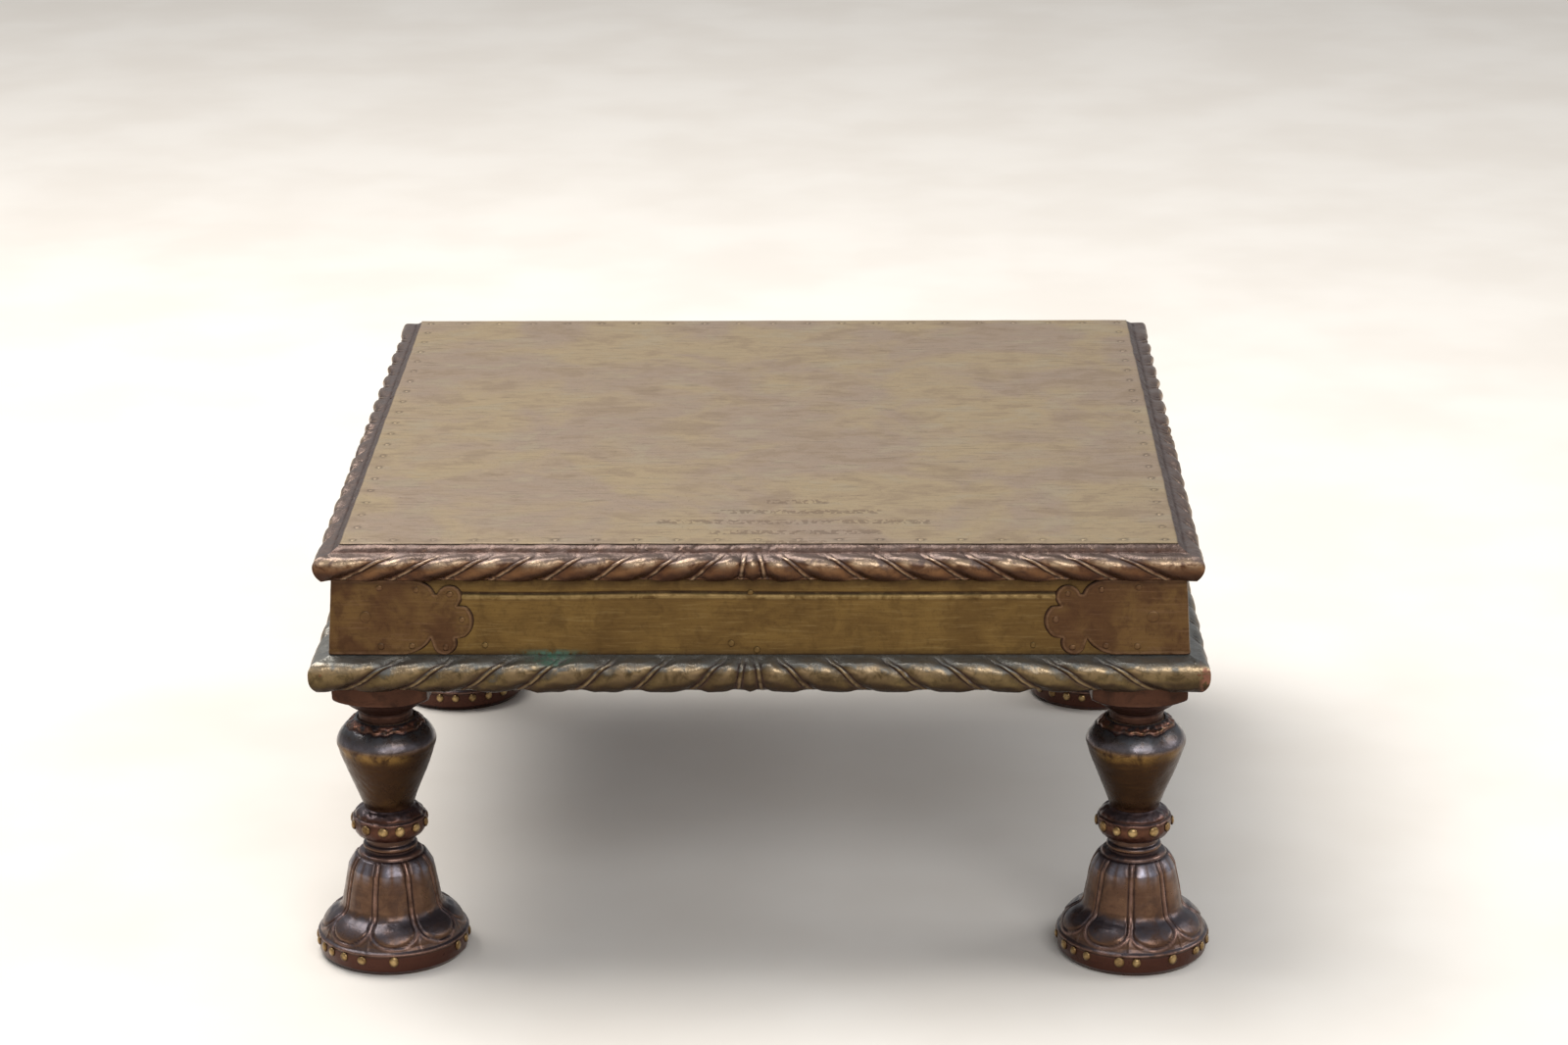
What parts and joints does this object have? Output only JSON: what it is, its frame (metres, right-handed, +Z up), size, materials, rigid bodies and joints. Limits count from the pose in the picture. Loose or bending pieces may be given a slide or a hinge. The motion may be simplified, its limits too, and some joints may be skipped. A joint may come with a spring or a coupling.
{
  "type": "low table",
  "caption": "Low square table with a flat nailed brass top, gadrooned mouldings, scalloped corner plates and turned legs, all brass sheet over a wooden core.",
  "frame": {"origin": "middle of the footprint, on the floor under the feet", "axes": "+Z up through the middle of the top; -Y is the front, +X is to the right seen from the front"},
  "size_m": [0.5262, 0.5262, 0.258],
  "materials": {
    "core_wood": "dry, dark and unpolished",
    "top_brass": "worn satin, mottled",
    "upper_brass": "aged, red-brown with worn highlights",
    "lower_brass": "aged, olive with worn highlights",
    "frieze_brass": "aged olive-brown",
    "plate_brass": "aged red-brown",
    "leg_brass": "aged brown with worn highlights",
    "nail_brass": "aged, rubbed on the heads",
    "stud_brass": "pale, rubbed"
  },
  "bodies": {
    "root": {"top_sheet": "top_brass", "top_plank_front": "core_wood", "top_plank_middle": "core_wood", "top_plank_back": "core_wood", "apron_rail_front": "core_wood", "apron_rail_right": "core_wood", "apron_rail_back": "core_wood", "apron_rail_left": "core_wood", "leg_front_left": "core_wood", "leg_front_right": "core_wood", "leg_back_right": "core_wood", "leg_back_left": "core_wood", "upper_moulding_front": "core_wood", "upper_moulding_right": "core_wood", "upper_moulding_back": "core_wood", "upper_moulding_left": "core_wood", "lower_moulding_front": "core_wood", "lower_moulding_right": "core_wood", "lower_moulding_back": "core_wood", "lower_moulding_left": "core_wood", "upper_skin_front": "upper_brass", "upper_skin_right": "upper_brass", "upper_skin_back": "upper_brass", "upper_skin_left": "upper_brass", "lower_skin_front": "lower_brass", "lower_skin_right": "lower_brass", "lower_skin_back": "lower_brass", "lower_skin_left": "lower_brass", "frieze_sheet_front": "frieze_brass", "frieze_sheet_right": "frieze_brass", "frieze_sheet_back": "frieze_brass", "frieze_sheet_left": "frieze_brass", "corner_plate_front_left": "plate_brass", "corner_plate_front_right": "plate_brass", "corner_plate_back_right": "plate_brass", "corner_plate_back_left": "plate_brass", "block_skin_front_left": "leg_brass", "block_skin_front_right": "leg_brass", "block_skin_back_right": "leg_brass", "block_skin_back_left": "leg_brass", "vase_skin_front_left": "leg_brass", "vase_skin_front_right": "leg_brass", "vase_skin_back_right": "leg_brass", "vase_skin_back_left": "leg_brass", "ring_skin_front_left": "leg_brass", "ring_skin_front_right": "leg_brass", "ring_skin_back_right": "leg_brass", "ring_skin_back_left": "leg_brass", "bell_skin_front_left": "leg_brass", "bell_skin_front_right": "leg_brass", "bell_skin_back_right": "leg_brass", "bell_skin_back_left": "leg_brass", "top_nails": "nail_brass", "frieze_nails": "nail_brass", "corner_plate_nails": "nail_brass", "corner_bosses": "plate_brass", "moulding_nails": "nail_brass", "ring_studs": "stud_brass", "foot_studs": "stud_brass", "joinery_pegs": "core_wood"}
  },
  "joints": []
}
